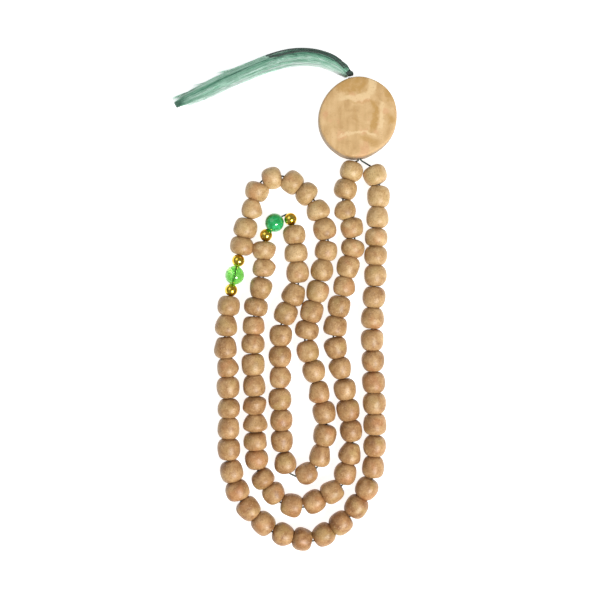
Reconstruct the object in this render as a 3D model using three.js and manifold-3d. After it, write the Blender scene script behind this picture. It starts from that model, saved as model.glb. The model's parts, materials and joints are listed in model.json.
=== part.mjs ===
// A misbaha, the Muslim string of prayer beads, lying on a table.
// Ninety-nine hand-rolled clay beads in three runs of thirty-three, a gold, green, gold marker between the
// runs, a clay disc that both ends of the thread pass through, and a floss tassel tied on behind the disc.
// Millimetres, +Z up. The table is z = 0. The string lies flat, in three turns, one inside the other.
import * as THREE from "three";
import { mergeVertices } from "three/addons/utils/BufferGeometryUtils.js";
import Module from "manifold-3d";

const wasm = await Module();
wasm.setup();

// Driving dimensions

const beadWidth = 9.5; // a round bead, across the thread
const beadShortness = 7.9 / 9.5; // the same bead's length along the thread, over its width
const goldWidth = 5;
const greenWidth = 8;
const threadWidth = 0.7;
const threadPlay = 0.4; // between the thread and the wall of a hole, all round
const gap = 0.3; // between two pieces that touch on the real string
const slack = 5; // bare thread between the disc and the first bead
const discWidth = 34.2;
const discThickness = 9;
const discRim = 1.5; // radius of the disc's rounded edges
const boreTilt = 6.5; // degrees that the disc's hole leans to the left
const boreOffset = 1; // the hole passes to the left of the disc's middle
const knotWidth = 3.2;
const flossThickness = 4;
const flossBevel = 0.8;

// Sizes that follow from them

const beadLength = beadWidth * beadShortness;
const beadHole = threadWidth + 2 * threadPlay;
const legSpacing = threadWidth + gap; // between the two legs of thread in the disc
const discHole = legSpacing + threadWidth + 2 * threadPlay;

// How a hand-rolled bead differs from a round one: across and along the thread
const beadForms = {
  r: { width: 1, length: 1 }, // round
  f: { width: 1.03, length: 0.92 }, // flattened
  l: { width: 0.98, length: 1.1 }, // long
};

// The three runs. A letter is one bead. A word is two or three neighbours that are one solid here.
const runs = [
  "r ll frl ll ll lll ll ll ll rl ll rl llr lrl lr",
  "fr rf r rf rl rl llf ll ll ll l l lll lll ll lfr",
  "ff lf fr ll ff fr fr l ll ll lll ll rl rlf rr rr",
];

// The lay of the thread from the disc round to the disc again, seen from above, in millimetres for the
// sizes above. It is a shape: it is scaled to the length of what is strung on it.
const lay = [
  [30.9, 59.2], [34.4, 57], [38.4, 50.6], [38, 41], [36.8, 20], [36.4, -3], [34.9, -18], [36.7, -34],
  [36.9, -50], [36.4, -66], [34.4, -78], [28.2, -87], [16, -95.6], [4.8, -101.6], [-7.6, -93.4],
  [-17, -84.6], [-22, -75], [-24, -60], [-23.6, -38], [-24, -24], [-25.3, -11], [-22.8, 4], [-20.4, 14],
  [-17.6, 25.5], [-15, 38], [-13.2, 47.4], [-5, 52.6], [3.3, 50.4], [11, 43.3], [16.2, 32],
  [17.6, 20], [13.4, 7], [8.8, -5], [8, -20], [12.6, -32], [16.4, -46], [16.8, -57], [13.4, -68],
  [7.6, -76.4], [-0.2, -71], [-1.4, -57], [-2.6, -38], [-2.9, -16], [0.4, 0], [7, 11.4], [5.6, 20],
  [3.4, 31.5], [0, 38], [-4.6, 33.4], [-9, 26], [-8.6, 14], [-12.2, 0], [-14, -14], [-13, -32],
  [-12.6, -50], [-12.2, -68], [-7.4, -78], [-1, -83.6], [8, -84.8], [18.4, -80.8],
  [25.6, -72], [27.6, -58], [26, -42], [21.6, -23], [19.2, -10], [23, 3], [27.2, 19],
  [28.4, 31], [23, 40], [26, 48], [28.2, 57.9],
];

// Where the thread goes into the disc, in the same plan
const discMouth = [30.4, 58.8];

// The floss, and the two thread ends on it, seen from above with the knot's middle as the origin.
// Floss: x, y and width. Its second length turns about its own first point.
const flossRoot = [
  [-1.6, 1.5, 3], [-5.7, 4.4, 4.8], [-11.5, 6.6, 5.2], [-18.6, 7.5, 5.4], [-25, 7.2, 5.4], [-34.9, 4.9, 5.4],
];
const flossTip = [
  [-37.8, 3.9, 5.4], [-46, 0.6, 5.6], [-54.4, -2.8, 5.8], [-62.7, -7, 5.2], [-72, -11, 3.6],
];
const tailRoutes = [
  [[-1.6, 3.2], [-5.4, 6.9], [-11.5, 9.5], [-18.6, 10.6], [-24.8, 10.3], [-30, 9.2], [-35, 7.6]],
  [[-2.8, 2.6], [-6.4, 5.7], [-12, 8.2], [-19, 8.9], [-25.5, 8.6], [-30, 7.7], [-33.6, 6.4]],
];

// Materials

function material(color, roughness, metalness = 0) {
  return new THREE.MeshStandardMaterial({ color, roughness, metalness });
}

const clay = material(0xc79a68, 0.75);
const discClay = material(0xd9b184, 0.6);
const gold = material(0xcaa02c, 0.2, 1);
const limeBead = material(0x62d868, 0.1);
const emeraldBead = material(0x27b566, 0.15);
const cotton = material(0x2c3f33, 0.9);
const floss = material(0x58a585, 0.6);

// Beads and balls: profiles turned about the thread, which is the profile's Y axis

const beadSides = 8;
const ballSides = 10;
const cordSides = 8;
const discSides = 40;
const rimSteps = 2;
const drillSides = 16;
const flossCurve = 3;
const tailSteps = 18;
const knotSides = 12;
const knotRings = 8;
const weld = 1e-4; // corners nearer than this are one corner

// Half a bead's outline from its end to its middle, as shares of its radius and of its half length
const beadShares = [
  [0.3, 1],
  [0.8, 0.66],
  [1, 0],
];
// The same for a ball: a true arc
const ballShares = [0, 25, 48, 68].map((a) => {
  const angle = THREE.MathUtils.degToRad(a);
  return [Math.cos(angle), Math.sin(angle)];
}).reverse();

// Outline points of one piece whose middle is at y = middle, from its low end to its high end
function outline(shares, radius, half, middle) {
  const low = shares.map(([r, y]) => new THREE.Vector2(r * radius, middle - y * half));
  const high = shares.slice(0, -1).reverse();
  return low.concat(high.map(([r, y]) => new THREE.Vector2(r * radius, middle + y * half)));
}

// Turns an outline with a hole through it. The sides are turned by half a step, so one flat faces down.
function turned(points, hole, sides) {
  const low = new THREE.Vector2(hole / 2, points[0].y);
  const high = new THREE.Vector2(hole / 2, points.at(-1).y);
  const closed = [low, ...points, high, low.clone()];
  return new THREE.LatheGeometry(closed, sides, Math.PI / sides, 2 * Math.PI);
}

// What is strung, in order: every item has its beads' widths and lengths and is one solid

function beadItem(word, name) {
  const beads = [...word].map((letter) => ({
    radius: (beadForms[letter].width * beadWidth) / 2,
    length: beadForms[letter].length * beadLength,
  }));
  return { name, beads, shares: beadShares, sides: beadSides, finish: clay };
}

function ballItem(width, name, finish) {
  const length = width * ballShares[0][1];
  return { name, beads: [{ radius: width / 2, length }], shares: ballShares, sides: ballSides, finish };
}

const markers = [
  ["first", limeBead],
  ["second", emeraldBead],
];

const strung = [];
runs.forEach((run, r) => {
  let bead = 1;
  for (const word of run.split(" ")) {
    const numbers = [...word].map((_, i) => String(bead + i).padStart(2, "0"));
    strung.push(beadItem(word, `bead_${r + 1}_${numbers.join("_")}`));
    bead += word.length;
  }
  if (r < markers.length) {
    const [which, finish] = markers[r];
    strung.push(ballItem(goldWidth, `gold_ball_${which}_marker_a`, gold));
    strung.push(ballItem(greenWidth, `green_ball_${which}_marker`, finish));
    strung.push(ballItem(goldWidth, `gold_ball_${which}_marker_b`, gold));
  }
});

for (const item of strung) {
  item.length = item.beads.reduce((sum, b) => sum + b.length, 0);
}

const axisHeight = Math.max(...strung.map((item) => {
  const widest = Math.max(...item.beads.map((b) => b.radius));
  return widest * Math.cos(Math.PI / item.sides);
}));

// How far an item's end stands back from a bend of the thread, so that it misses its neighbour across it
function standBack(item, bead, bend) {
  const lean = Math.tan(bend / 2);
  const needs = item.shares.map(([r, y]) => r * bead.radius * lean - ((1 - y) * bead.length) / 2);
  return Math.max(0, ...needs) + gap / 2 / Math.cos(bend / 2);
}

// The lay as a smooth curve, and the places on it where one item's share of the thread meets the next

const curve = new THREE.CatmullRomCurve3(
  lay.map(([x, y]) => new THREE.Vector3(x, y, 0)),
  false,
  "centripetal",
);
const fineness = 4000;
const settlingPasses = 40;
const scaleRange = [0.5, 2];
const halvings = 40;
const finePoints = curve.getPoints(fineness);

// Steps along the curve with straight steps of the given lengths. Returns the places, and the step lengths'
// common scale is set so that the last place is the curve's end.
function stepped(lengths) {
  let [low, high] = scaleRange;
  for (let pass = 0; pass < halvings; pass++) {
    const scale = (low + high) / 2;
    if (walk(lengths.map((l) => l / scale))) high = scale;
    else low = scale;
  }
  return { scale: high, places: walk(lengths.map((l) => l / high)) };
}

function walk(lengths) {
  const places = [finePoints[0].clone()];
  let i = 0;
  for (const length of lengths) {
    const from = places.at(-1);
    while (i < finePoints.length && finePoints[i].distanceTo(from) < length) i++;
    if (i === finePoints.length) return null;
    const before = finePoints[i - 1];
    const after = finePoints[i];
    const a = before.distanceTo(from);
    const b = after.distanceTo(from);
    places.push(before.clone().lerp(after, (length - a) / (b - a)));
  }
  return places;
}

function bendAt(places, k) {
  if (k === 0 || k === places.length - 1) return 0;
  const before = places[k].clone().sub(places[k - 1]);
  const after = places[k + 1].clone().sub(places[k]);
  return before.angleTo(after);
}

// places[0] is the disc, places[1] the first item's start, and each item ends where the next one starts
let backs = strung.map(() => [gap / 2, gap / 2]);
let laid;
for (let pass = 0; pass < settlingPasses; pass++) {
  const lengths = strung.map((item, k) => item.length + backs[k][0] + backs[k][1]);
  laid = stepped([slack, ...lengths]);
  const needed = strung.map((item, k) => [
    standBack(item, item.beads[0], bendAt(laid.places, k + 1)),
    standBack(item, item.beads.at(-1), bendAt(laid.places, k + 2)),
  ]);
  backs = backs.map(([a, b], k) => [(a + needed[k][0]) / 2, (b + needed[k][1]) / 2]);
}
const places = laid.places.map((p) => p.clone().multiplyScalar(laid.scale).setZ(axisHeight));

const group = new THREE.Group();

function add(name, geometry, finish, parent = group) {
  const mesh = new THREE.Mesh(geometry, finish.clone());
  mesh.name = name;
  parent.add(mesh);
  return mesh;
}

strung.forEach((item, k) => {
  const points = [];
  let low = -item.length / 2;
  for (const bead of item.beads) {
    const own = outline(item.shares, bead.radius, bead.length / 2, low + bead.length / 2);
    if (points.length) points.pop();
    points.push(...own);
    low += bead.length;
  }
  const mesh = add(item.name, turned(points, beadHole, item.sides), item.finish);
  const from = places[k + 1];
  const along = places[k + 2].clone().sub(from).normalize();
  mesh.position.copy(from).addScaledVector(along, backs[k][0] + item.length / 2);
  mesh.rotation.z = Math.atan2(along.y, along.x) - Math.PI / 2;
});

// The disc. Its hole runs from the mouth, where both ends of the string go in, to the far mouth behind.

const lean = THREE.MathUtils.degToRad(boreTilt);
const boreAxis = new THREE.Vector3(-Math.sin(lean), Math.cos(lean), 0);
const boreSide = new THREE.Vector3(Math.cos(lean), Math.sin(lean), 0);
const boreHalf = Math.sqrt((discWidth / 2) ** 2 - boreOffset ** 2);
const mouth = new THREE.Vector3(...discMouth, 0).multiplyScalar(laid.scale).setZ(discThickness / 2);
const boreMiddle = mouth.clone().addScaledVector(boreAxis, boreHalf);
const discMiddle = boreMiddle.clone().addScaledVector(boreSide, boreOffset);
const farMouth = mouth.clone().addScaledVector(boreAxis, 2 * boreHalf);

// A closed geometry as a manifold-3d solid, after its own rotation and move
function solid(geometry) {
  const bare = geometry.index ? geometry.toNonIndexed() : geometry.clone();
  bare.deleteAttribute("normal");
  bare.deleteAttribute("uv");
  const merged = mergeVertices(bare, weld);
  const mesh = { numProp: 3 };
  mesh.vertProperties = new Float32Array(merged.attributes.position.array);
  mesh.triVerts = new Uint32Array(merged.index.array);
  return new wasm.Manifold(new wasm.Mesh(mesh));
}

function geometryOf(manifold) {
  const mesh = manifold.getMesh();
  const geometry = new THREE.BufferGeometry();
  geometry.setAttribute("position", new THREE.BufferAttribute(mesh.vertProperties, 3));
  geometry.setIndex(new THREE.BufferAttribute(mesh.triVerts, 1));
  return geometry.toNonIndexed();
}

function discGeometry() {
  const radius = discWidth / 2;
  const half = discThickness / 2;
  const profile = [new THREE.Vector2(0, -half)];
  for (let step = 0; step <= rimSteps; step++) {
    const angle = (step / rimSteps - 1) * (Math.PI / 2);
    const out = radius - discRim + discRim * Math.cos(angle);
    profile.push(new THREE.Vector2(out, -half + discRim + discRim * Math.sin(angle)));
  }
  const upper = profile.map((p) => new THREE.Vector2(p.x, -p.y)).reverse();
  const puck = new THREE.LatheGeometry([...profile, ...upper], discSides).rotateX(Math.PI / 2);
  const drill = new THREE.CylinderGeometry(discHole / 2, discHole / 2, 2 * discWidth, drillSides);
  drill.rotateZ(lean).translate(-boreOffset * boreSide.x, -boreOffset * boreSide.y, 0);
  return geometryOf(solid(puck).subtract(solid(drill)));
}

const disc = add("imam_disc", discGeometry(), discClay);
disc.position.copy(discMiddle);

// The thread: straight through every item, and both legs side by side through the disc

class Stations extends THREE.Curve {
  constructor(points) {
    super();
    this.points = points;
  }

  getPoint(t, target = new THREE.Vector3()) {
    const place = t * (this.points.length - 1);
    const i = Math.min(Math.floor(place), this.points.length - 2);
    return target.lerpVectors(this.points[i], this.points[i + 1], place - i);
  }

  getPointAt(u, target) {
    return this.getPoint(u, target);
  }
}

function roundSection(width, sides) {
  const section = new THREE.Shape();
  for (let i = 0; i < sides; i++) {
    const angle = ((i + 0.5) / sides) * 2 * Math.PI;
    const x = (width / 2) * Math.cos(angle);
    const y = (width / 2) * Math.sin(angle);
    if (i === 0) section.moveTo(x, y);
    else section.lineTo(x, y);
  }
  section.closePath();
  return section;
}

function cord(points, width, steps) {
  const path = new Stations(points);
  const options = { steps, extrudePath: path, curveSegments: 1 };
  return new THREE.ExtrudeGeometry(roundSection(width, cordSides), options);
}

// One leg: it bends just outside the mouth, so that it misses the mouth's edge
function legPoints(side) {
  const bendPoint = mouth.clone().addScaledVector(boreAxis, -threadWidth / 2);
  return [bendPoint, farMouth].map((p) => p.clone().addScaledVector(boreSide, (side * legSpacing) / 2));
}

const [firstLeg, lastLeg] = [legPoints(1), legPoints(-1)];
const threadPoints = [firstLeg[1], firstLeg[0], ...places.slice(1), lastLeg[0], lastLeg[1]];
add("stringing_thread", cord(threadPoints, threadWidth, threadPoints.length - 1), cotton);

// The tassel: a knot behind the disc, and the floss in two lengths that meet at a round end

const knotMiddle = farMouth.clone().addScaledVector(boreAxis, gap + knotWidth / 2);
const knot = add("tassel_knot", new THREE.SphereGeometry(knotWidth / 2, knotSides, knotRings), cotton);
knot.position.copy(knotMiddle);

// The edge points of the floss, half its width to the left or right of its middle line
function flossEdge(stations, side) {
  return stations.map(([x, y, width], i) => {
    const [x0, y0] = stations[Math.max(i - 1, 0)];
    const [x1, y1] = stations[Math.min(i + 1, stations.length - 1)];
    const across = new THREE.Vector2(y0 - y1, x1 - x0).setLength((side * width) / 2);
    return new THREE.Vector2(x, y).add(across);
  });
}

function flossGeometry(stations, roundStart) {
  const left = flossEdge(stations, 1);
  const right = flossEdge(stations, -1).reverse();
  const shape = new THREE.Shape();
  shape.moveTo(left[0].x, left[0].y);
  shape.splineThru(left.slice(1));
  shape.lineTo(right[0].x, right[0].y);
  shape.splineThru(right.slice(1));
  if (roundStart) {
    const [x, y, width] = stations[0];
    const start = Math.atan2(right.at(-1).y - y, right.at(-1).x - x);
    shape.absarc(x, y, width / 2, start, start - Math.PI, true);
  }
  return new THREE.ExtrudeGeometry(shape, {
    depth: flossThickness - 2 * flossBevel,
    bevelThickness: flossBevel,
    bevelSize: flossBevel,
    bevelOffset: -flossBevel,
    bevelSegments: 1,
    curveSegments: flossCurve,
  }).translate(0, 0, flossBevel);
}

const tassel = new THREE.Group();
tassel.position.set(knotMiddle.x, knotMiddle.y, 0);
group.add(tassel);

add("floss_root", flossGeometry(flossRoot, false), floss, tassel);
add("floss_tip", flossGeometry(flossTip, true), floss, tassel);

// The two ends of the thread lie on the floss, past the knot
const tailHeight = flossThickness + gap + threadWidth / 2;
tailRoutes.forEach((route, i) => {
  const points = route.map(([x, y]) => new THREE.Vector3(x, y, tailHeight));
  const smooth = new THREE.CatmullRomCurve3(points).getSpacedPoints(tailSteps);
  add(`thread_tail_${"ab"[i]}`, cord(smooth, threadWidth, tailSteps), cotton, tassel);
});

// The origin is under the middle of the whole string
const box = new THREE.Box3().setFromObject(group, true);
const middle = box.getCenter(new THREE.Vector3());
group.position.set(-middle.x, -middle.y, -box.min.z);

export default group;
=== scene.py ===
# %% [markdown]
# # A string of misbaha prayer beads
# Ninety-nine hand-rolled clay beads lie in three turns on a table, with two green balls between gold ones, a
# clay disc at the top and a green tassel behind it. The measured model gives every place. This lesson builds
# the looks round it: surfaces worked out with numpy, and materials written as sums on the surface's own
# coordinates.

# %% The frame: the measured parts, and the box that they fill
import json
import math
import bpy
import numpy as np
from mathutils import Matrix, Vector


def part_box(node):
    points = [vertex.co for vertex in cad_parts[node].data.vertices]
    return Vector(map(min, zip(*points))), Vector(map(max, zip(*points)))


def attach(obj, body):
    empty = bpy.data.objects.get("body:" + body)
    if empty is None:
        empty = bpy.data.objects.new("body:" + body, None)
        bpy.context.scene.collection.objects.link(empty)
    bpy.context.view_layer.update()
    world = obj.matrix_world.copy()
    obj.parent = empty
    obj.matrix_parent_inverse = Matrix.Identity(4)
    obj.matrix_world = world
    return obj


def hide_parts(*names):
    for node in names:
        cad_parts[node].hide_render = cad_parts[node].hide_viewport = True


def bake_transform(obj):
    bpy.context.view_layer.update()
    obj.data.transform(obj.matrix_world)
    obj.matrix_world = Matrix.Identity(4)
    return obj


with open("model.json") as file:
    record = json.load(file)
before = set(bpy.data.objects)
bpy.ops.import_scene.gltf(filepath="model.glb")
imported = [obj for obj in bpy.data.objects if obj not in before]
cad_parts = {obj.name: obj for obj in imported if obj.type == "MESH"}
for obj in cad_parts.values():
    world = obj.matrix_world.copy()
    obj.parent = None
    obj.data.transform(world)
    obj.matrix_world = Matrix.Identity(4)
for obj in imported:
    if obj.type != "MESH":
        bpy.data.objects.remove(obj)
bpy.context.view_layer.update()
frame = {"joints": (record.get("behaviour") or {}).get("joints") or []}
mm = 0.001
joints = {joint["name"]: joint for joint in frame["joints"]}

# %% [markdown]
# ## Camera
# A string on a table is seen best from straight above. The camera hangs over the middle of the view with a
# normal lens, so the parts near the edge of the view show a little of their inner sides.

# %% The camera
view_middle = (5.5 * mm, -0.7 * mm)
view_width = 250 * mm
bead_height = 4.5 * mm
lens = 50
sensor = 36
camera = bpy.data.objects.new("camera", bpy.data.cameras.new("camera"))
camera.data.lens = lens
camera.data.sensor_width = sensor
camera.data.clip_start = 0.01
camera.location = (*view_middle, bead_height + view_width * lens / sensor)
bpy.context.collection.objects.link(camera)
bpy.context.scene.camera = camera
print("camera height in mm:", round(camera.location.z / mm))

# %% [markdown]
# ## Helpers for surfaces
# Every piece here is a grid of points. A grid becomes a mesh when neighbours in it are joined into
# four-sided faces. A grid can close on itself, as a ring does, in either direction. Where a row shrinks to a
# point, it becomes one real point, so that nothing stays open.

# %% A grid of points as a mesh
def grid_faces(rows, columns, close_rows=False, close_columns=True):
    """Four corners for every cell: a point, its right neighbour, the one above that, and the one above the
    point. A closed direction takes its last neighbour from the start again."""
    r = np.arange(rows if close_rows else rows - 1)[:, None]
    c = np.arange(columns if close_columns else columns - 1)[None, :]
    up, right = (r + 1) % rows, (c + 1) % columns
    corners = [r * columns + c, r * columns + right, up * columns + right, up * columns + c]
    return np.stack(np.broadcast_arrays(*corners), -1).reshape(-1, 4)


def piece(name, points, faces, caps=(), values=None, uv=None, smooth=True):
    """One mesh object with its place in its mesh. Values are numbers per point, such as a shade. The uv
    array gives two numbers per face corner. Caps are more faces, as tuples of point numbers, and their
    corners get zeros in the uv map."""
    mesh = bpy.data.meshes.new(name)
    mesh.from_pydata(points.reshape(-1, 3).tolist(), [], [*map(tuple, faces.tolist()), *caps])
    mesh.polygons.foreach_set("use_smooth", np.full(len(mesh.polygons), smooth))
    for key, value in (values or {}).items():
        layer = mesh.attributes.new(key, "FLOAT", "POINT")
        layer.data.foreach_set("value", np.asarray(value, np.float32).ravel())
    if uv is not None:
        layer = mesh.uv_layers.new(name="UVMap")
        spare = np.zeros((len(mesh.loops) - len(uv), 2))
        layer.data.foreach_set("uv", np.concatenate([uv, spare]).astype(np.float32).ravel())
    mesh.update()
    thing = bpy.data.objects.new(name, mesh)
    bpy.context.collection.objects.link(thing)
    return thing


lift = np.array([0, 0, 1.0])
print("a ring of 3 x 4 points has", len(grid_faces(3, 4)), "faces")

# %% [markdown]
# ## Curves through chosen points
# Thread and fibres follow smooth lines through a few points. On each span the line is a cubic whose slope at
# a point is the slope of the chord between that point's neighbours.

# %% A smooth line, and a tube along it
def smooth_line(stations, count):
    """Evenly spaced points on the smooth line through the stations. Rows may hold more than three numbers,
    such as a width, and these are carried along."""
    p = np.asarray(stations, float)
    spans = np.linalg.norm(np.diff(p[:, :3], axis=0), axis=1)
    knots = np.concatenate([[0], np.cumsum(spans)])
    slopes = np.gradient(p, knots, axis=0)
    s = np.linspace(0, knots[-1], 40 * len(p))
    i = np.clip(np.searchsorted(knots, s, side="right") - 1, 0, len(spans) - 1)
    h = spans[i][:, None]
    t = ((s - knots[i]) / spans[i])[:, None]
    fine = ((2 * t**3 - 3 * t**2 + 1) * p[i] + (t**3 - 2 * t**2 + t) * h * slopes[i]
            + (3 * t**2 - 2 * t**3) * p[i + 1] + (t**3 - t**2) * h * slopes[i + 1])
    return evenly(fine, count)


def evenly(line, count):
    """The same line with points at equal steps of its own length."""
    steps = np.linalg.norm(np.diff(line[:, :3], axis=0), axis=1)
    far = np.concatenate([[0], np.cumsum(steps)])
    wanted = np.linspace(0, far[-1], count)
    return np.stack([np.interp(wanted, far, column) for column in line.T], 1)


def length_of(line):
    """The sum of the straight steps."""
    return float(np.linalg.norm(np.diff(line[:, :3], axis=0), axis=1).sum())


def unit(v):
    """The same directions, one long."""
    return v / np.maximum(np.linalg.norm(v, axis=-1, keepdims=True), 1e-12)


def circle(sides):
    """The cosines and the sines of equal steps once round, each as a column."""
    angle = 2 * np.pi * np.arange(sides) / sides
    return np.cos(angle)[:, None], np.sin(angle)[:, None]


def tube(name, line, radius, sides):
    """A ring of points round every point of the line, at right angles to it, with flat ends. The rings'
    second direction leans upwards. The uv's u is the distance along in mm, v goes once round."""
    along = unit(np.gradient(line, axis=0))
    across = unit(np.cross(lift, along))
    over = np.cross(along, across)
    cosine, sine = circle(sides)
    ring = across[:, None] * cosine + over[:, None] * sine
    points = line[:, None] + radius * ring
    faces = grid_faces(len(line), sides)
    caps = [tuple(range(sides))[::-1], tuple(range((len(line) - 1) * sides, len(line) * sides))]
    u = np.arange(len(line)) * length_of(line) / (len(line) - 1) / mm
    u = np.repeat(u[:-1], sides)[:, None] + np.array([0, 0, 1, 1]) * (u[1] - u[0])
    v = (np.tile(np.arange(sides), len(line) - 1)[:, None] + np.array([0, 1, 1, 0])) / sides
    uv = np.stack([u, v], -1).reshape(-1, 2)
    return piece(name, points, faces, caps, uv=uv)


print("a circle of four sides:", np.round(np.hstack(circle(4)), 1).tolist())

# %% [markdown]
# ## The two thread ends
# Past the knot behind the disc, the thread's two ends lie on the tassel. They are short free cords, so they
# come first, each as a tube along its own route. They move with the tassel.

# %% The thread ends, as free cords
thread_width = 0.7 * mm
floss_thickness = 4 * mm
piece_gap = 0.3 * mm
knot_place = np.array(joints["tassel_lift"]["pos_m"])
tail_height = floss_thickness + piece_gap + thread_width / 2
tail_routes = {
    "a": [[-1.3, 2.6], [-5.2, 6.6], [-11.5, 9.3], [-18.6, 10.4], [-24.8, 10.1], [-30, 9], [-35, 7.4]],
    "b": [[-2.2, 2.2], [-5.8, 5.7], [-11.9, 8.4], [-18.8, 9.4], [-24.5, 8.7], [-29.5, 7.5], [-33.6, 6.8]],
}
tail_points = 60
tail_sides = 10
tails = []
for letter, route in tail_routes.items():
    stations = [[knot_place[0] + x * mm, knot_place[1] + y * mm, tail_height] for x, y in route]
    line = smooth_line(stations, tail_points)
    tail = tube(f"thread_end_{letter}", line, thread_width / 2, tail_sides)
    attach(tail, "floss_root")
    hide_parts(f"thread_tail_{letter}")
    tails.append(tail)
    print(tail.name, "is", round(length_of(line) / mm, 1), "mm long")

# %% [markdown]
# ## Materials as sums
# A material here is written as arithmetic on the surface's own coordinates. A small class wraps one output
# socket. Python's operators on it add Math nodes, so `1 - mask` builds a node that subtracts.

# %% Sockets that can be added and multiplied
class Socket:
    """One output of a node in one finish. An operator makes the Math node of that name."""

    def __init__(self, finish, output):
        self.finish = finish
        self.output = output

    def math(self, operation, *numbers):
        inputs = dict(enumerate(numbers))
        return self.finish.node("ShaderNodeMath", {"operation": operation}, inputs)

    def __add__(self, other):
        return self.math("ADD", self, other)

    def __radd__(self, other):
        return self.math("ADD", other, self)

    def __sub__(self, other):
        return self.math("SUBTRACT", self, other)

    def __rsub__(self, other):
        return self.math("SUBTRACT", other, self)

    def __mul__(self, other):
        return self.math("MULTIPLY", self, other)

    def __truediv__(self, other):
        return self.math("DIVIDE", self, other)

    def __abs__(self):
        return self.math("ABSOLUTE", self)

    def sine(self):
        return self.math("SINE", self)

    def root(self):
        return self.math("SQRT", self)

    def between(self, low, high):
        """0 below low, 1 above high, with a soft step between. If low is the larger, the step goes down."""
        settings = {"interpolation_type": "SMOOTHSTEP"}
        flip = low > high
        inputs = {"Value": self, "From Min": min(low, high), "From Max": max(low, high)}
        step = self.finish.node("ShaderNodeMapRange", settings, inputs)
        return 1 - step if flip else step


class Finish:
    """One material. Its nodes all come from node()."""

    def __init__(self, name):
        self.material = bpy.data.materials.new(name)
        self.material.use_nodes = True
        self.tree = self.material.node_tree
        self.tree.nodes.clear()

    def node(self, kind, settings=None, inputs=None, output=0, stops=()):
        """Makes a node, sets what it is, then its inputs: numbers, colours or other sockets. Stops are the
        places and colours of a ramp."""
        made = self.tree.nodes.new(kind)
        for key, value in (settings or {}).items():
            setattr(made, key, value)
        if stops:
            elements = made.color_ramp.elements
            while len(elements) < len(stops):
                elements.new(0.5)
            for element, (place, color) in zip(elements, stops):
                element.position = place
                element.color = (*color, 1)
        for key, value in (inputs or {}).items():
            socket = made.inputs[key]
            if isinstance(value, Socket):
                self.tree.links.new(value.output, socket)
            elif hasattr(value, "__len__") and len(value) == 3 and socket.type == "RGBA":
                socket.default_value = (*value, 1)
            else:
                socket.default_value = value
        return Socket(self, made.outputs[output])

    def place(self, centre=(0, 0, 0)):
        """Object coordinates in millimetres from a centre that is given in metres."""
        where = self.node("ShaderNodeTexCoord", output="Object")
        moved = self.node("ShaderNodeVectorMath", {"operation": "SUBTRACT"}, {0: where, 1: centre})
        scaled = {0: moved, "Scale": 1 / mm}
        return self.node("ShaderNodeVectorMath", {"operation": "SCALE"}, scaled)

    def axes(self, vector):
        """The three numbers of a vector."""
        split = self.tree.nodes.new("ShaderNodeSeparateXYZ")
        self.tree.links.new(vector.output, split.inputs[0])
        return [Socket(self, output) for output in split.outputs]

    def noise(self, vector, per_mm, detail=2.0, distortion=0.0):
        """Cloudy noise from 0 to 1, with about per_mm clouds on each millimetre."""
        inputs = {"Vector": vector, "Scale": per_mm, "Detail": detail, "Distortion": distortion}
        return self.node("ShaderNodeTexNoise", None, inputs)

    def attribute(self, name):
        """A number that the piece stores at each point."""
        return self.node("ShaderNodeAttribute", {"attribute_name": name}, output="Fac")

    def mix(self, share, a, b):
        """Colour a where share is 0 and b where it is 1."""
        settings = {"data_type": "RGBA"}
        return self.node("ShaderNodeMix", settings, {0: share, 6: a, 7: b}, output=2)

    def ramp(self, share, *stops):
        """Colours at places from 0 to 1, blended evenly from one to the next."""
        return self.node("ShaderNodeValToRGB", None, {"Fac": share}, stops=stops)

    def bump(self, height, strength, distance):
        """A normal that tilts as if the surface rose by height times distance."""
        inputs = {"Height": height, "Strength": strength, "Distance": distance}
        return self.node("ShaderNodeBump", None, inputs)

    def shader(self, **inputs):
        """The Principled shader and the output. Underscores in a name stand for spaces."""
        named = {key.replace("_", " "): value for key, value in inputs.items()}
        surface = self.node("ShaderNodeBsdfPrincipled", None, named)
        end = self.tree.nodes.new("ShaderNodeOutputMaterial")
        self.tree.links.new(surface.output, end.inputs["Surface"])
        return self.material


print("operators on a socket:", [n for n in vars(Socket) if n.startswith("__r")])

# %% [markdown]
# ## Fired clay
# Beads rolled from earth between two fingers are never one colour. The clay has cloudy patches a few
# millimetres wide, specks smaller than that, and a skin that hands have rubbed satin. Each bead also has a
# shade of its own, stored at its points. Painted shade darkens it in its hole and towards its end faces,
# where the beads press together, and painted light makes the beads higher on the table lighter and yellower.

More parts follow.
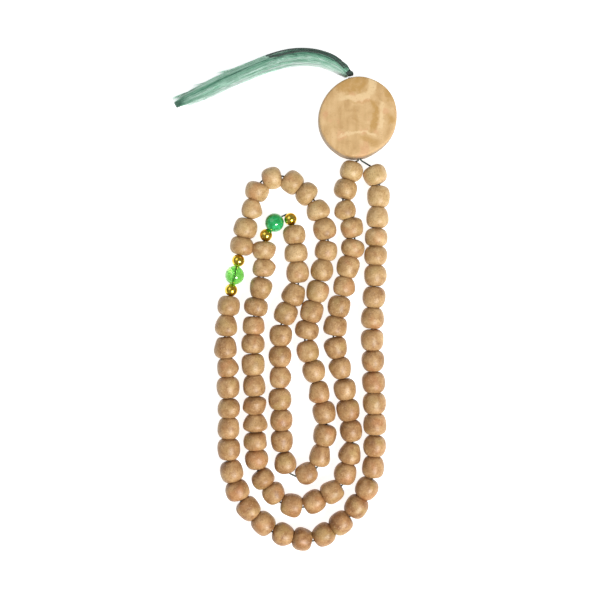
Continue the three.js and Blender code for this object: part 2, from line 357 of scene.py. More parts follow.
# %% The beads' clay
def clay_finish():
    """Patches and specks of tan, with a fine uneven skin."""
    f = Finish("rolled_clay")
    p = f.place()
    patches = f.noise(p, 0.24, 3.0, 0.6)
    grain = f.noise(p, 1.1, 3.0)
    specks = f.noise(p, 2.0, 1.0)
    tint = f.noise(p, 0.13, 2.0)
    shade = f.attribute("shade") * 0.6 + patches * 1.25 + grain * 0.5 - 0.69
    shaded_brown = f.ramp(shade, (0.15, (0.19, 0.076, 0.023)), (0.45, (0.335, 0.168, 0.063)),
                   (0.85, (0.53, 0.32, 0.142)))
    lit_yellow = f.ramp(shade, (0.15, (0.33, 0.178, 0.066)), (0.45, (0.515, 0.33, 0.14)),
                    (0.85, (0.70, 0.51, 0.265)))
    # Painted light: the lighter, yellower ramp for beads higher on the table, where more light falls.
    color = f.mix(f.attribute("high"), shaded_brown, lit_yellow)
    color = f.mix(tint.between(0.54, 0.7) * 0.5, color, (0.46, 0.20, 0.075))
    color = f.mix(tint.between(0.46, 0.3) * 0.4, color, (0.45, 0.32, 0.11))
    color = f.mix(specks.between(0.58, 0.7) * 0.5, color, (0.19, 0.08, 0.027))
    color = f.mix(specks.between(0.38, 0.26) * 0.45, color, (0.72, 0.53, 0.31))
    # Painted shade: darker in the hole and towards the end faces, where the beads press together.
    color = f.mix(f.attribute("hole_and_end_shade") * 0.7, color, (0.15, 0.06, 0.02))
    skin = grain * 0.6 + f.noise(p, 3.0, 2.0) * 0.4
    return f.shader(Base_Color=color, Roughness=0.34 + grain * 0.22,
                    Normal=f.bump(skin, 0.55, 0.16 * mm))


rolled_clay = clay_finish()
print(rolled_clay.name, "has", len(rolled_clay.node_tree.nodes), "nodes")

# %% [markdown]
# ## Where the beads are
# Each turning bead in the measured model has an axis, the line of the thread in it. A word of letters names
# neighbours that are one solid there. Here each bead is a piece of its own: its middle is half its length
# past the end of the one before.

# %% The beads in order, with their middles, directions and sizes
bead_width = 9.5 * mm
bead_length = 7.9 * mm
bead_hole = 1.5 * mm
axis_height = joints["bead_1_01_spin"]["pos_m"][2]
bead_forms = {"r": (1, 1), "f": (1.03, 0.92), "l": (0.98, 1.1)}  # round, flat, long: shares of both sizes
runs = [
    "r ll frl ll ll lll ll ll ll rl ll rl llr lrl lr",
    "fr rf r rf rl rl llf ll ll ll l l lll lll ll lfr",
    "ff lf fr ll ff fr fr l ll ll lll ll rl rlf rr rr",
]
beads = []
items = []  # every solid on the thread, in order: its middle, its direction, its length or None for a ball
for run_number, run in enumerate(runs, 1):
    number = 1
    for word in run.split(" "):
        body = f"bead_{run_number}_" + "_".join(f"{number + i:02d}" for i in range(len(word)))
        middle = np.array(joints[body + "_spin"]["pos_m"])
        along = np.array(joints[body + "_spin"]["axis"])
        lengths = [bead_forms[letter][1] * bead_length for letter in word]
        items.append((middle, along, sum(lengths)))
        start = -sum(lengths) / 2
        for i, letter in enumerate(word):
            beads.append({"run": run_number, "number": number + i, "body": body, "along": along,
                          "middle": middle + along * (start + lengths[i] / 2),
                          "radius": bead_forms[letter][0] * bead_width / 2, "length": lengths[i]})
            start += lengths[i]
        number += len(word)
    if run_number < len(runs):
        which = ["first", "second"][run_number - 1]
        marker = f"ball_{which}_marker"
        for body in (f"gold_{marker}_a", f"green_{marker}", f"gold_{marker}_b"):
            spin = joints[body + "_spin"]
            items.append((np.array(spin["pos_m"]), np.array(spin["axis"]), None))
print(len(beads), "beads on", len(items), "solids with the balls")

# %% [markdown]
# ## A hand-rolled bead
# A sphere would look machine-made. This bead starts as a rounded barrel, a superellipse turned about the
# thread: the barrel's corners fill out as the power rises above two. Then it is pushed in and out by soft
# bulges in chosen directions, and one end may be narrower, as on a pear. The outline runs from one rim of
# the hole to the other and back through the hole, so the surface is a closed ring with no poles.

# %% One bead as a surface
around = 36
outside = 21
inside = 3
end_face = 0.32  # the flat end's radius, as a share of the bead's
mean_width = 1.03  # the mean radius at the middle, as a share of the bead's
widest = 1.065  # no bulge goes further out than this share
end_reach = 0.45  # how much of the measured gap the clay fills at each end
table_gap = 0.02 * mm


def bead_points(bead, power, pear, bulges):
    """At latitude t from -1 to 1 along the thread, the radius is face + (1 - face) times
    (1 - |t|^power)^(1/power), times 1 + pear*t, so each end is a small flat face. Each bulge is a direction,
    an amount and a sharpness: the distance from the thread grows by amount * exp(sharpness * (cosine - 1)),
    fading to none at the ends. The lower half is squeezed until it clears the table. The second result is
    painted shade: 1 in the hole, and rising towards the small end faces, where the beads press together."""
    rim = bead_hole / 2 / bead["radius"]
    turn = np.linspace(-1, 1, outside)
    t = np.concatenate([[-1], np.sin(turn * np.pi / 2), [1]])
    r = end_face + (1 - end_face) * (1 - np.abs(t) ** power) ** (1 / power)
    r[[0, -1]] = rim
    cosines, sines = circle(around)
    ring = cosines * np.cross(lift, bead["along"]) + sines * lift
    out = unit(t[:, None, None] * bead["along"] + r[:, None, None] * ring)
    swell = np.ones(out.shape[:2])
    for direction, amount, sharpness in bulges:
        cosine = out @ (np.asarray(direction, float) / np.linalg.norm(direction))
        swell += amount * np.exp(sharpness * (cosine - 1))
    fade = (1 - np.abs(t)[:, None] ** 4)
    wide = r[:, None] * (1 + pear * t[:, None] * fade) * (1 + (swell - 1) * fade)
    wide *= min(mean_width / wide[len(t) // 2].mean(), widest / wide.max())
    wide = np.maximum(wide, rim)
    half = bead["length"] / 2 + piece_gap * end_reach
    skin = bead["middle"] + (t * half)[:, None, None] * bead["along"]
    skin = skin + bead["radius"] * wide[..., None] * ring
    down = (axis_height - table_gap) / (bead["radius"] * wide.max())
    below = skin[..., 2] < axis_height
    skin[..., 2] = np.where(below, axis_height + (skin[..., 2] - axis_height) * down, skin[..., 2])
    bore = np.linspace(1, -1, inside + 2)[1:-1]
    wall = bead["middle"] + (bore * half)[:, None, None] * bead["along"]
    wall = wall + bead_hole / 2 * ring
    # Painted shade, strongest at the small end faces where the beads press together, and 1 inside the hole.
    end_shade = np.abs(t) ** 6 * (1.02 - np.minimum(r, 1))
    hole_and_end_shade = np.repeat(np.concatenate([end_shade, np.ones(inside)]), around)
    return np.concatenate([skin, wall]), hole_and_end_shade


bead_rows = outside + 2 + inside
print("a bead has", around * bead_rows, "points")

# %% [markdown]
# ## All ninety-nine beads
# Most beads take their small faults from a seeded generator, so each run of this file gives the same string.
# The ones with a shape of their own are listed one by one: which way they bulge on the table, x to the
# right and y away from the reader, how much and how sharply, how full their corners are, and how much
# narrower one end is. The beads are painted lighter and yellower near the disc and browner low on the
# table: a painted light gradient, for the stronger light near the disc.

# %% Making the beads
east, north, south = (1, 0), (0, 1), (0, -1)
bulge_sharpness = 5
chosen = {
    (1, 21): {"power": 2.1, "bulges": [(north, 0.1, 3)]},
    (1, 30): {"power": 2.2, "bulges": [(east, 0.2, 4)]},
    (1, 32): {"pear": -0.14},
    (2, 3): {"power": 2.1, "bulges": [((1, -0.6), 0.32, 6)]},
    (2, 8): {"pear": 0.12},
    (2, 13): {"power": 2.7},
    (2, 17): {"bulges": [((-1, -0.7), 0.28, 5)]},
    (2, 21): {"power": 2.1, "bulges": [(south, 0.1, 2)]},
    (2, 26): {"bulges": [(east, 0.2, 5)]},
    (2, 30): {"pear": -0.16, "power": 2.4},
    (2, 32): {"power": 2.8, "bulges": [((0.6, -1), -0.08, 8)]},
    (3, 1): {"pear": -0.06, "bulges": [((0.8, 0.6), 0.08, 3)]},
    (3, 2): {"power": 2.5, "bulges": [((1, 0.2), 0.24, 6)]},
    (3, 3): {"pear": -0.14},
    (3, 5): {"power": 2.8},
    (3, 7): {"power": 2.8},
    (3, 9): {"pear": -0.16, "bulges": [((-1, -0.6), 0.22, 5)]},
    (3, 10): {"pear": 0.22, "power": 2.1},
    (3, 19): {"pear": -0.2, "power": 2.3},
    (3, 23): {"bulges": [((-1, 0.2), 0.14, 4), ((1, -0.4), -0.08, 5)]},
    (3, 25): {"power": 2.8},
    (3, 27): {"bulges": [((1, -0.6), 0.2, 5)]},
    (3, 31): {"bulges": [((-1, -0.5), 0.2, 5)]},
}
generator = np.random.default_rng(33)
bead_pieces = []
for bead in beads:
    ways = unit(generator.normal(size=(5, 3)))
    amounts = generator.uniform(-0.09, 0.1, 5)
    power = generator.uniform(2.05, 2.5)
    pear = generator.uniform(-0.07, 0.07)
    tone = generator.uniform(0.25, 0.75)
    own = chosen.get((bead["run"], bead["number"]), {})
    bulges = [(way, amount, bulge_sharpness) for way, amount in zip(ways, amounts)]
    bulges += [((*way, 0.1), amount, sharp) for way, amount, sharp in own.get("bulges", [])]
    skin, hole_and_end_shade = bead_points(bead, own.get("power", power), own.get("pear", pear), bulges)
    shade = np.full(len(hole_and_end_shade), tone * 0.5 + 0.3)
    # How far up the table the bead lies, for the painted light gradient: lighter and yellower near the disc.
    high = np.full(len(hole_and_end_shade), np.interp(bead["middle"][1] / mm, [-100, -20, 50], [0, 0.3, 1]))
    made = piece(f"clay_bead_{bead['run']}_{bead['number']:02d}", skin,
                 grid_faces(bead_rows, around, close_rows=True),
                 values={"shade": shade, "high": high, "hole_and_end_shade": hole_and_end_shade})
    made.data.materials.append(rolled_clay)
    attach(made, bead["body"])
    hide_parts(bead["body"])
    bead_pieces.append(made)
print(len(bead_pieces), "beads,", sum(len(b.data.polygons) for b in bead_pieces), "faces")

# %% [markdown]
# ## Gold balls and green balls
# The four gold balls are plated beads with a mirror skin. The green ones are pressed glass: the first is
# clear lime, and the thread shows in it as a dark line, the second is emerald with pale cyan-green patches,
# a painted reflection. All are true spheres with a hole, so one surface serves: a circle's arc from rim to
# rim, and back through the hole.

# %% The balls' shape
gold_width = 5 * mm
gold_skin = 5.3 * mm  # plating and dents make the seen ball a little wider than the measured one
green_width = 8 * mm
ball_around = 40
arc_points = 26


def ball(name, body, width):
    """Points at equal angles on a circle's arc, turned about the thread, then the hole's wall."""
    spin = joints[body + "_spin"]
    middle, along = np.array(spin["pos_m"]), np.array(spin["axis"])
    rim = math.acos(bead_hole / width)
    arc = np.linspace(-rim, rim, arc_points)
    wall = np.linspace(math.sin(rim), -math.sin(rim), inside + 2)[1:-1]
    t = np.concatenate([np.sin(arc), wall]) * width / 2
    r = np.concatenate([np.cos(arc) * width / 2, np.full(inside, bead_hole / 2)])
    cosines, sines = circle(ball_around)
    ring = cosines * np.cross(lift, along) + sines * lift
    points = middle + t[:, None, None] * along + r[:, None, None] * ring
    made = piece(name, points, grid_faces(len(t), ball_around, close_rows=True))
    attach(made, body)
    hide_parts(body)
    return made


print("a ball has", ball_around * (arc_points + inside), "points")

# %% Their finishes
def gold_finish():
    """Yellow metal, a little duller in cloudy patches."""
    f = Finish("gold_plating")
    p = f.place()
    cloud = f.noise(p, 0.7, 3.0)
    color = f.mix(cloud.between(0.3, 0.75), (0.72, 0.47, 0.03), (0.92, 0.72, 0.13))
    return f.shader(Base_Color=color, Metallic=1.0, Roughness=0.1 + cloud * 0.14,
                    Normal=f.bump(f.noise(p, 1.6, 2.0), 0.12, 0.1 * mm))


def lime_finish():
    """Clear green glass with faint swirls."""
    f = Finish("lime_glass")
    p = f.place()
    swirl = f.noise(p, 0.35, 3.0, 1.5)
    color = f.mix(swirl.between(0.35, 0.7), (0.15, 0.62, 0.07), (0.44, 0.88, 0.26))
    return f.shader(Base_Color=color, Roughness=0.04 + swirl * 0.06, Transmission_Weight=0.82, IOR=1.35,
                    Coat_Weight=0.6, Coat_Roughness=0.03)


def emerald_finish():
    """Deeper green with pale cyan-green patches, a painted reflection, only faintly clear."""
    f = Finish("emerald_glass")
    p = f.place()
    swirl = f.noise(p, 0.3, 4.0, 2.5)
    color = f.mix(swirl.between(0.38, 0.66), (0.008, 0.35, 0.075), (0.04, 0.62, 0.20))
    # Painted reflection: pale cyan-green patches where the swirl is high.
    color = f.mix(swirl.between(0.62, 0.8) * 0.7, color, (0.22, 0.80, 0.50))
    return f.shader(Base_Color=color, Roughness=0.12 + swirl * 0.1, Transmission_Weight=0.2, IOR=1.45,
                    Coat_Weight=1.0, Coat_Roughness=0.04)


gold_plating, lime_glass, emerald_glass = gold_finish(), lime_finish(), emerald_finish()
print("finishes for the balls:", gold_plating.name, lime_glass.name, emerald_glass.name)

# %% Making the balls
for which, glass in (("first", lime_glass), ("second", emerald_glass)):
    for letter in "ab":
        body = f"gold_ball_{which}_marker_{letter}"
        made = ball(f"gold_{which}_{letter}", body, gold_skin)
        made.data.materials.append(gold_plating)
    made = ball(f"green_{which}", f"green_ball_{which}_marker", green_width)
    made.data.materials.append(glass)
    print("marker", which, "is made")

# %% [markdown]
# ## The clay disc
# The disc is pressed by hand from the same earth and smoothed. Its outline wavers, its top rises slightly
# in the middle, and its edge is rounded. The hole that both ends of the string pass through is cut by a
# long thin cylinder.

# %% The disc's shape
disc_width = 34.2 * mm
disc_thickness = 9 * mm
disc_rim = 1.1 * mm
disc_around = 160
disc_outline = [  # degrees from the right, and the share of the full radius there
    (0, 0.945), (25, 0.985), (45, 1.0), (65, 0.985), (90, 1.0), (118, 0.95), (145, 0.93), (165, 0.94),
    (185, 0.965), (225, 0.98), (258, 1.005), (280, 0.985), (300, 0.93), (325, 0.955),
]
outline_reach = 12  # points to each side in the running mean
edge_rings = 15
face_rings = 8
edge_power = 0.8  # below 1, so the edge is squarer than a half circle
face_share = 0.985  # the faces lie a little inside the measured ones
disc_crown = 0.03  # the rise of the top's middle, as a share of half the thickness
disc_low, disc_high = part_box("imam_disc")
disc_middle = (np.array(disc_low) + np.array(disc_high)) / 2
disc_axis = np.array(joints["disc_turn"]["axis"])
bore_middle = np.array(joints["disc_turn"]["pos_m"])
disc_hole = 2.5 * mm


def disc_points():
    """From the middle of the under face out round the edge to the middle of the top face. The radius
    follows the chosen shares by angle, smoothed by a running mean. The edge is a half superellipse. The top
    is crowned by a cosine of the distance from the middle."""
    a = 2 * np.pi * np.arange(disc_around) / disc_around
    degrees, shares = np.array(disc_outline).T
    waver = np.interp(np.degrees(a), degrees, shares, period=360)
    reach = np.arange(-outline_reach, outline_reach + 1)
    near = waver[(np.arange(disc_around)[:, None] + reach) % disc_around]
    weights = np.hanning(len(reach))
    waver = near @ (weights / weights.sum())
    edge = np.linspace(-np.pi / 2, np.pi / 2, edge_rings)
    radius = disc_width / 2
    r_edge = radius - disc_rim + disc_rim * np.cos(edge) ** edge_power
    z_edge = np.sign(np.sin(edge)) * np.abs(np.sin(edge)) ** edge_power
    r_flat = np.linspace(0, radius - disc_rim, face_rings + 1)[:-1]
    crown = disc_crown * np.cos(r_flat / radius * np.pi / 2)
    r = np.concatenate([r_flat, r_edge, r_flat[::-1]])
    z = np.concatenate([np.full(face_rings, -1.0), z_edge, 1 + crown[::-1]])
    z *= disc_thickness / 2 * face_share
    x = r[:, None] * waver * np.cos(a)
    y = r[:, None] * waver * np.sin(a)
    return np.stack([x, y, np.broadcast_to(z[:, None], x.shape)], -1) + disc_middle


def closed_disc(name, rings):
    """The first and the last ring shrink to one point each, and the faces there are triangles."""
    count = rings.shape[1]
    points = np.concatenate([rings[0, :1], rings[1:-1].reshape(-1, 3), rings[-1, :1]])
    faces = grid_faces(len(rings) - 2, count) + 1
    i = np.arange(count)
    under = [(0, 1 + (k + 1) % count, 1 + k) for k in i.tolist()]
    base = 1 + (len(rings) - 3) * count
    over = [(len(points) - 1, base + k, base + (k + 1) % count) for k in i.tolist()]
    return piece(name, points, faces, [*under, *over])


disc = closed_disc("imam_disc_clay", disc_points())
drill_reach = np.linspace(-0.7, 0.7, 9) * disc_width
drill_sides = 24
drill = tube("drill", bore_middle + drill_reach[:, None] * disc_axis, disc_hole / 2, drill_sides)
cut = disc.modifiers.new("hole", "BOOLEAN")
cut.operation = "DIFFERENCE"
cut.object = drill
cut.solver = "EXACT"
bpy.context.view_layer.update()
drilled = bpy.data.meshes.new_from_object(disc.evaluated_get(bpy.context.evaluated_depsgraph_get()))
disc.modifiers.clear()
disc.data = drilled
bpy.data.objects.remove(drill)
print("the disc has", len(disc.data.polygons), "faces")

# %% [markdown]
# ## The folds on the disc's face
# Clay that is folded before it is pressed shows where the folds met. Each fold here is a soft band along a
# simple curve, measured in millimetres from the middle of the face. Two noises push the curves about, a slow
# one by some millimetres and a quick one by less, so that nothing looks drawn with a ruler.

# %% Bands along curves
def band(distance, outer, inner):
    """1 where the distance from a curve is under inner, 0 where it is over outer."""
    return abs(distance).between(outer, inner)


def pushed(f, vector, place, per_mm, far):
    """The vector moved by up to half of far on each axis, by a noise at the place."""
    cloud = f.node("ShaderNodeTexNoise", None, {"Vector": place, "Scale": per_mm, "Detail": 2.0}, "Color")
    push = f.node("ShaderNodeVectorMath", {"operation": "SUBTRACT"}, {0: cloud, 1: (0.5, 0.5, 0.5)})
    push = f.node("ShaderNodeVectorMath", {"operation": "SCALE"}, {0: push, "Scale": far})
    return f.node("ShaderNodeVectorMath", {"operation": "ADD"}, {0: vector, 1: push})


def folds(x, y, ragged):
    """How ochre, how pale and how raised the face is. The tongue is a rounded square that hangs from the far
    edge, where the fourth powers of the two distances add up to one. A pale loop runs round it. To the right
    is a pale column, with ochre on both its sides, and nearer the reader a pale arch, which is a parabola,
    with ochre under it."""
    across, along = (x + 2.4) / 8.2, (y - 15.4) / 7.4
    tongue = (across * across * across * across + along * along * along * along).root().root()
    loop = band(tongue - 1.04, 0.3, 0.06) * (x + 12).between(0, 9)
    fill = tongue.between(1.0, 0.55) * (ragged * 1.5 - 0.05)

    from_column = x - 9.8 + y * y * 0.02
    column = band(from_column, 1.9, 0.4) * band(y - 0.4, 8.2, 4)
    before = band(from_column + 2.9, 1.9, 0.2) * band(y - 0.2, 8, 4)
    beyond = band(from_column - 4, 2.6, 0.4) * band(abs(y - 3.6) - 5.2, 3.6, 1)

    from_arch = y + 6 + (x - 1) * (x - 1) * 0.04
    arch = band(from_arch, 1.0, 0.1) * band(x - 0.6, 10, 6)
    under = band(from_arch + 3, 2.4, 0.4) * band(x - 4.6, 6, 2)

    groove = band(y - 5.8, 0.8, 0.1) * band(x - 1, 6, 3)
    crease = band(x + 1.2, 0.8, 0.2) * band(y + 0.5, 7, 4)
    ochre = fill + before * 0.85 + beyond * 0.7 + under * 0.6 + groove * 0.4 + crease * 0.3
    pale = loop * 0.9 + column * 0.8 + arch * 0.8 + (ragged - 0.45) * 0.8
    return ochre, pale, loop * 0.5 + column * 0.4 + arch * 0.5


print("bands for the folds are ready")

# %% The disc's finish
def disc_finish():
    """The folds on cloudy, streaky tan, with grain and pores. The wall is painted darker and greyer, as
    painted shade.
    """
    f = Finish("pressed_clay")
    p = f.place(tuple(disc_middle))
    _, _, height = f.axes(p)
    x, y, _ = f.axes(pushed(f, pushed(f, p, p, 0.16, 4.5), p, 0.6, 2.2))
    ochre, pale, raised = folds(x, y, f.noise(p, 0.5, 3.0))
    on_top = height.between(3.2, 4.2)
    # Where the wall is, for the painted shade below.
    wall_shade_mask = 1 - abs(height).between(2.2, 4.3)

    drawn_out = f.node("ShaderNodeVectorMath", {"operation": "MULTIPLY"}, {0: p, 1: (1.0, 0.16, 1.0)})
    clouds = f.noise(p, 0.16, 4.0, 0.8) * 0.7 + f.noise(drawn_out, 0.6, 2.0) * 0.3
    grain = f.noise(p, 2.2, 3.0)
    pores = f.noise(p, 1.3, 1.0).between(0.66, 0.74)
    color = f.ramp(clouds, (0.32, (0.47, 0.28, 0.108)), (0.5, (0.585, 0.38, 0.172)),
                   (0.66, (0.665, 0.45, 0.225)))
    color = f.mix(f.noise(p, 0.2, 1.0).between(0.56, 0.7) * 0.5, color, (0.63, 0.33, 0.165))
    color = f.mix(ochre.between(0.0, 0.95) * on_top * 0.9, color, (0.46, 0.262, 0.072))
    color = f.mix(pale.between(0.1, 0.95) * on_top * 0.8, color, (0.75, 0.55, 0.30))
    color = f.mix(grain.between(0.58, 0.75) * 0.4, color, (0.42, 0.25, 0.10))
    color = f.mix(grain.between(0.38, 0.26) * 0.4, color, (0.77, 0.59, 0.37))
    color = f.mix(pores * 0.35, color, (0.36, 0.21, 0.09))
    # Painted shade: the wall is darkened and greyed, as it lies in shade.
    color = f.mix(wall_shade_mask * 0.8, color, (0.30, 0.225, 0.155))
    relief = raised + grain * 0.5 - pores * 0.5
    return f.shader(Base_Color=color, Roughness=0.5 + grain * 0.2, Normal=f.bump(relief, 0.4, 0.16 * mm))


disc.data.materials.clear()
disc.data.materials.append(disc_finish())
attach(disc, "disc")
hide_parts("imam_disc")
print("the disc's finish has", len(disc.data.materials[0].node_tree.nodes), "nodes")

# %% [markdown]
# ## The thread
# One dark green-grey cotton thread runs straight through every bead and both ways through the disc. Twisted
# yarn shows as slanting stripes, so the finish draws stripes on the tube's own unrolled map.

# %% The thread's finish and its line
def thread_finish():
    """Stripes that climb round the thread: the sine of the distance along plus the place round it."""
    f = Finish("twisted_thread")
    stripe_mm, stripes_round = 1.1, 2
    u, v, _ = f.axes(f.node("ShaderNodeTexCoord", output="UV"))
    twist = (u * (2 * math.pi / stripe_mm) + v * (2 * math.pi * stripes_round)).sine() * 0.5 + 0.5
    fuzz = f.noise(f.place(), 5.0, 2.0)
    color = f.mix(twist, (0.012, 0.026, 0.02), (0.05, 0.085, 0.07))
    color = f.mix(fuzz.between(0.55, 0.75) * 0.4, color, (0.12, 0.2, 0.17))
    return f.shader(Base_Color=color, Roughness=0.6 + fuzz * 0.3, Sheen_Weight=0.3,
                    Normal=f.bump(twist + fuzz * 0.3, 0.8, 0.08 * mm))


twisted_thread = thread_finish()
thread_rings = 1400
thread_sides = 8
leg_spacing = thread_width + piece_gap
bore_side = np.cross(disc_axis, lift)
bore_half = disc_width / 2 * 0.998  # a little short, because the hole is a little off the middle


def leg(side):
    """One leg of thread in the disc: its far end, at the knot, then its near end, a little outside."""
    start = bore_middle + side * leg_spacing / 2 * bore_side
    far = start + (bore_half + piece_gap) * disc_axis
    near = start - (bore_half + thread_width / 2) * disc_axis
    return [far, near]


ends = []
for middle, along, length in items:
    half = (length or gold_width) / 2  # in a green ball too, as the thread goes straight through it
    ends += [middle - along * half, middle + along * half]
corners = np.array([*leg(1), *ends, *leg(-1)[::-1]])
thread = tube("string_thread", evenly(corners, thread_rings), thread_width / 2, thread_sides)
thread.data.materials.append(twisted_thread)
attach(thread, "strand")
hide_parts("stringing_thread")
for tail in tails:
    tail.data.materials.append(twisted_thread)
print("the thread in the beads is", round(length_of(corners) / mm), "mm long")

# %% [markdown]
# ## The knot
# Behind the disc the thread is tied round the fibres. The knot is a trefoil, the simplest closed knot, laid
# twice round a small lump of wound fibre. It turns the way the tassel does.

# %% The knot
knot_width = 3.2 * mm
wrap_radius = 0.38 * mm
wrap_depth = 0.35 * mm
wrap_points = 121
wrap_sides = 10
core_depth = 0.45 * mm
core_rings, core_around = 18, 28
ridges, ridge_share = 9, 0.05


def trefoil(count):
    """x = sin t + 2 sin 2t, y = cos t - 2 cos 2t, z = -1.4 sin 3t, for t once round."""
    t = np.linspace(0, 2 * np.pi, count)
    return np.stack([np.sin(t) + 2 * np.sin(2 * t), np.cos(t) - 2 * np.cos(2 * t), -1.4 * np.sin(3 * t)], 1)


def ring_tube(name, line, radius, sides, outward):
    """As tube(), for a closed line: the rings' first direction lies across `outward`."""
    closed = np.concatenate([line[-2:-1], line, line[1:2]])
    along = unit(closed[2:] - closed[:-2])[:-1]
    across = unit(np.cross(outward[:-1], along))
    over = np.cross(along, across)
    cosine, sine = circle(sides)
    points = line[:-1, None] + radius * (across[:, None] * cosine + over[:, None] * sine)
    return piece(name, points, grid_faces(len(line) - 1, sides, close_rows=True))


wraps = trefoil(wrap_points)
wraps *= (knot_width / 2 - wrap_depth) / np.linalg.norm(wraps, axis=1).max()
wraps = wraps[:, [0, 2, 1]]
knot = ring_tube("tassel_knot_wraps", wraps + knot_place, wrap_radius, wrap_sides, unit(wraps))

latitude = np.linspace(-np.pi / 2, np.pi / 2, core_rings)[:, None]
longitude = 2 * np.pi * np.arange(core_around) / core_around
core_size = (knot_width / 2 - core_depth) * (1 + ridge_share * np.cos(ridges * longitude))
core_unit = [np.cos(latitude) * np.cos(longitude), np.cos(latitude) * np.sin(longitude),
             np.sin(latitude) + 0 * longitude]
core = closed_disc("tassel_knot_core", np.stack(core_unit, -1) * core_size[:, None] + knot_place)
for made in (knot, core):
    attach(made, "knot")
    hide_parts("tassel_knot")
    made.data.materials.append(twisted_thread)
print("the knot is", round((float(np.ptp(wraps[:, 0])) + 2 * wrap_radius) / mm, 1), "mm across")

# %% [markdown]
# ## The tassel's fibres
# Floss is hundreds of fine fibres that lie side by side, bunch up and stray. A solid with a fibre texture
# would look like plastic, so each fibre here is a thin three-sided tube of its own, and its edges are real.
# They leave the knot together, spread out along a middle line with a width, and close up again at the cut
# end. Each has its own place in the bundle's oval section, and wanders slowly about it.

# %% The middle line and the finish
floss_stations = [
    [-0.2, -0.5, 2.8], [-1.6, 1.4, 3.7], [-5.7, 4.7, 4.7], [-11.5, 7.2, 5.2], [-18.6, 8.3, 5.3],
    [-25, 7.9, 5.2], [-31.5, 6.4, 5.3], [-37.8, 4.2, 5.2], [-46, 0.8, 5.1], [-54.4, -2.8, 5.0],
    [-62.7, -7, 4.7], [-70, -10.4, 4.0], [-73.4, -12.0, 3.4],
]
middle_line = [[knot_place[0] + x * mm, knot_place[1] + y * mm, 0, w * mm] for x, y, w in floss_stations]
print("the tassel's middle line is", round(length_of(np.array(middle_line)) / mm), "mm long")


def floss_finish():
    """Green that pales where the fibre's own shade is high, with lighter stretches along each fibre."""
    f = Finish("green_floss")
    shade = f.attribute("shade") + (f.noise(f.place(), 0.35, 2.0) - 0.5) * 0.35
    color = f.ramp(shade, (0.02, (0.008, 0.04, 0.032)), (0.3, (0.07, 0.26, 0.165)),
                   (0.6, (0.25, 0.58, 0.41)), (0.88, (0.60, 0.87, 0.74)), (1.0, (0.88, 0.98, 0.95)))
    return f.shader(Base_Color=color, Roughness=0.38, Sheen_Weight=0.25)


green_floss = floss_finish()
print(green_floss.name, "has", len(green_floss.node_tree.nodes), "nodes")

# %% Fibres as thin tubes along the middle line
locks = 16
lock_wander, own_wander, rise_wander = 0.17, 0.06, 0.12  # shares of half the bundle's width or height
fibre_rings = 20
fibre_sides = 3


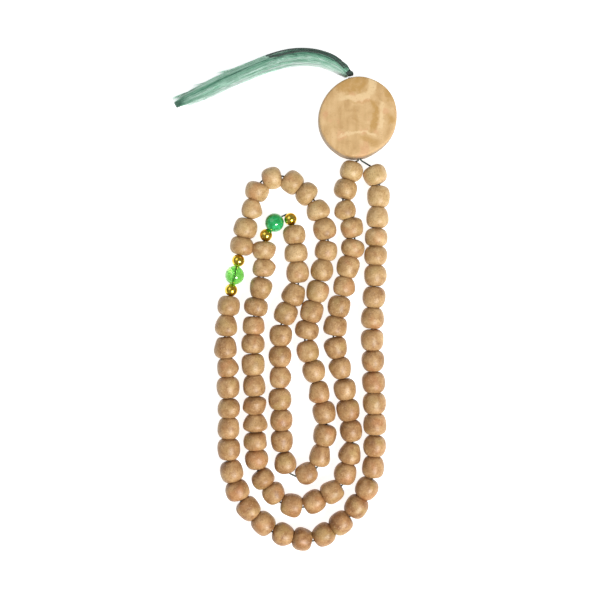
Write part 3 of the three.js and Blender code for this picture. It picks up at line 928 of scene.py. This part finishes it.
def fibres(name, places, heights, radius, shade, seed, start=0.0, end=1.0, fan=0.0):
    """Fibre i runs along the middle line at its own share of the width, from -1 on the side nearer the
    beads to 1 on the far side. Fibres gather in locks: a lock wanders from side to side as a slow sine, and
    its fibres stray a little from it. Start and end are shares of the middle line's length. From its start
    on, fan moves a fibre's share of the width by fan times the square of the length it has run."""
    g = np.random.default_rng(seed)
    n = len(places)
    line = smooth_line(middle_line, 200)
    along = unit(np.gradient(line[:, :3], axis=0))
    far_side = -np.cross(lift, along)
    starts = np.broadcast_to(start, n)[:, None]
    ends_at = np.broadcast_to(end, n)[:, None]
    t = starts + (ends_at - starts) * np.linspace(0, 1, fibre_rings)
    at = t * (len(line) - 1)

    def pick(values):
        return np.stack([np.interp(at, np.arange(len(line)), column) for column in values.T], -1)

    centre, side, width = pick(line[:, :3]), pick(far_side), pick(line[:, 3:])[..., 0]
    lock = g.integers(0, locks, n)
    own_phase, own_waves = g.uniform(0, 2 * np.pi, (2, n, 1)), g.uniform(0.8, 2.4, (2, n, 1))
    phase = g.uniform(0, 2 * np.pi, locks)[lock][:, None]
    waves = g.uniform(0.7, 1.9, locks)[lock][:, None]
    share = places[:, None] + lock_wander * np.sin(phase + waves * 2 * np.pi * t)
    share = share + own_wander * np.sin(own_phase[0] + own_waves[0] * 2 * np.pi * t)
    share = share + np.broadcast_to(fan, n)[:, None] * (t - starts) ** 2

    # The section's half height along the bundle, the fibre's own height in it, and the section's middle.
    tall = np.interp(t, [0, 0.05, 0.25, 0.8, 1], [0.5, 0.9, 1, 0.75, 0.5]) * floss_thickness / 2
    rise = heights[:, None] + rise_wander * np.sin(own_phase[1] + own_waves[1] * 2 * np.pi * t)
    base = np.interp(t, [0, 0.04, 0.12], [knot_place[2] - 0.6 * mm, 3 * mm, 2.0 * mm])
    points = centre + side * (share * width / 2)[..., None]
    points[..., 2] = np.maximum(base + rise * tall, radius + 0.05 * mm)

    # Three points round each point of the fibre, thinner at the tip, with a triangle over both ends.
    forward = unit(np.gradient(points, axis=1))
    right = unit(np.cross(lift, forward))
    over = np.cross(forward, right)
    taper = np.interp(np.linspace(0, 1, fibre_rings), [0, 0.85, 1], [1, 1, 0.45])
    cosine, sine = circle(fibre_sides)
    ring = right[:, :, None] * cosine + over[:, :, None] * sine
    skin = points[:, :, None] + ring * (radius * taper)[:, None, None]
    first = np.arange(n) * fibre_rings * fibre_sides
    last = first + (fibre_rings - 1) * fibre_sides
    faces = (grid_faces(fibre_rings, fibre_sides) + first[:, None, None]).reshape(-1, 4)
    caps = [(a + 2, a + 1, a) for a in first.tolist()] + [(a, a + 1, a + 2) for a in last.tolist()]

    # Darker at the knot, in a streak down the middle and at the cut end. The darkening at the knot is
    # painted shade, strongest on the far side, where the thread ends lie over the fibres.
    root = np.clip(1 - t / 0.42, 0, 1) * (0.26 + 0.38 * np.clip(share, -1, 1))
    streak = np.exp(-((share - 0.1) / 0.25) ** 2) * np.interp(t, [0.15, 0.3, 0.85, 1], [0, 1, 1, 0.4])
    tip = np.clip((t - 0.93) / 0.05, 0, 1) * np.clip(0.5 - share, 0, 1)
    tone = shade[:, None] + g.normal(0, 0.12, locks)[lock][:, None] - root - 0.26 * streak - 0.5 * tip
    return piece(name, skin, faces, caps, values={"shade": np.repeat(tone[..., None], 3, -1)})


# The bundle itself, spread over an oval. Not all fibres reach the cut end.
g = np.random.default_rng(99)
count = 1250
angle_in = g.uniform(0, 2 * np.pi, count)
depth = g.uniform(0, 1, count) ** 0.6
places = np.cos(angle_in) * depth
heights = np.sin(angle_in) * depth
shade = 0.7 + g.normal(0, 0.13, count)
body_fibres = fibres("floss_body", places, heights, 0.06 * mm, shade, 1,
                     end=1 - 0.09 * g.uniform(0, 1, count) ** 2 - 0.1 * np.clip(places - 0.2, 0, 1))

# Paler fibres along the edge nearer the beads.
few = 240
lower = fibres("floss_lower_edge", g.uniform(-1.4, -0.75, few), g.uniform(-0.9, 0.1, few), 0.045 * mm,
               g.uniform(0.8, 1.15, few), 2, start=g.uniform(0.02, 0.5, few), end=g.uniform(0.6, 0.98, few),
               fan=g.uniform(-0.3, 0.15, few))

# The palest, which fan out widely near the knot.
haze = 150
pale_edge = fibres("floss_pale_edge", g.uniform(-1.25, -0.8, haze), g.uniform(-0.9, -0.2, haze), 0.035 * mm,
                   g.uniform(1.1, 1.4, haze), 4, start=g.uniform(0.0, 0.1, haze),
                   end=g.uniform(0.3, 0.5, haze), fan=g.uniform(-7, 4, haze))

# Tufts that stray from the far edge. Each is its start, its end, its fan and its number of fibres.
tufts = [(0.48, 0.74, 13, 26), (0.34, 0.60, 3, 20), (0.74, 0.88, 38, 18), (0.86, 1.0, 32, 50)]
tuft_start, tuft_end, tuft_fan, tuft_count = np.array(tufts).T
which = np.repeat(np.arange(len(tufts)), tuft_count.astype(int))
stray = len(which)
upper = fibres("floss_strays", g.uniform(0.45, 0.9, stray), g.uniform(-0.6, 0.2, stray), 0.045 * mm,
               g.uniform(0.45, 0.8, stray), 3, start=tuft_start[which] + g.uniform(-0.03, 0.03, stray),
               end=np.minimum(tuft_end[which] + g.uniform(-0.06, 0.02, stray), 1.0),
               fan=tuft_fan[which] * g.uniform(0.8, 1.15, stray))

# Each part of the tassel takes the floss finish, its place is written into its points, and the measured
# parts are hidden.
for made in (body_fibres, lower, pale_edge, upper):
    made.data.materials.append(green_floss)
    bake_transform(made)
    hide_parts("floss_root", "floss_tip")
    print(made.name, len(made.data.polygons), "faces")

# %% [markdown]
# ## Table and light
# The table is plain, and glows a little so that it stays pale in the shadows. One soft light stands to the
# lower right, so each bead has a bright spot there and darker left and upper edges. A weaker, wider light
# opposite it and the sky fill in the rest.

# %% The table
table_half = 20
corner = [-table_half, table_half]
table_points = np.array([[[x, y, 0] for x in corner] for y in corner])
table = piece("table", table_points, grid_faces(2, 2, close_columns=False), smooth=False)
paper = Finish("pale_table")
paper.shader(Base_Color=(0.55, 0.555, 0.56), Roughness=0.9, Emission_Color=(1, 1, 1), Emission_Strength=0.85)
table.data.materials.append(paper.material)

# %% The lights
world = bpy.data.worlds.new("sky")
bpy.context.scene.world = world
world.use_nodes = True
world.node_tree.nodes["Background"].inputs["Color"].default_value = (0.96, 0.98, 1.0, 1)
world.node_tree.nodes["Background"].inputs["Strength"].default_value = 0.28


def soft_light(name, place, size, power, color):
    """A square area light of that size in metres, turned to the middle of the table."""
    light = bpy.data.lights.new(name, "AREA")
    light.size = size
    light.energy = power
    light.color = color
    lamp = bpy.data.objects.new(name, light)
    lamp.location = place
    tilt = math.acos(place[2] / math.hypot(*place))
    lamp.rotation_euler = (tilt, 0, math.atan2(place[1], place[0]) + math.pi / 2)
    bpy.context.collection.objects.link(lamp)


soft_light("key", (0.28, -0.3, 0.55), 0.22, 5.6, (1, 0.985, 0.96))
soft_light("fill", (-0.4, 0.35, 0.7), 0.6, 1.2, (0.97, 0.985, 1))
bpy.context.scene.view_settings.view_transform = "Standard"
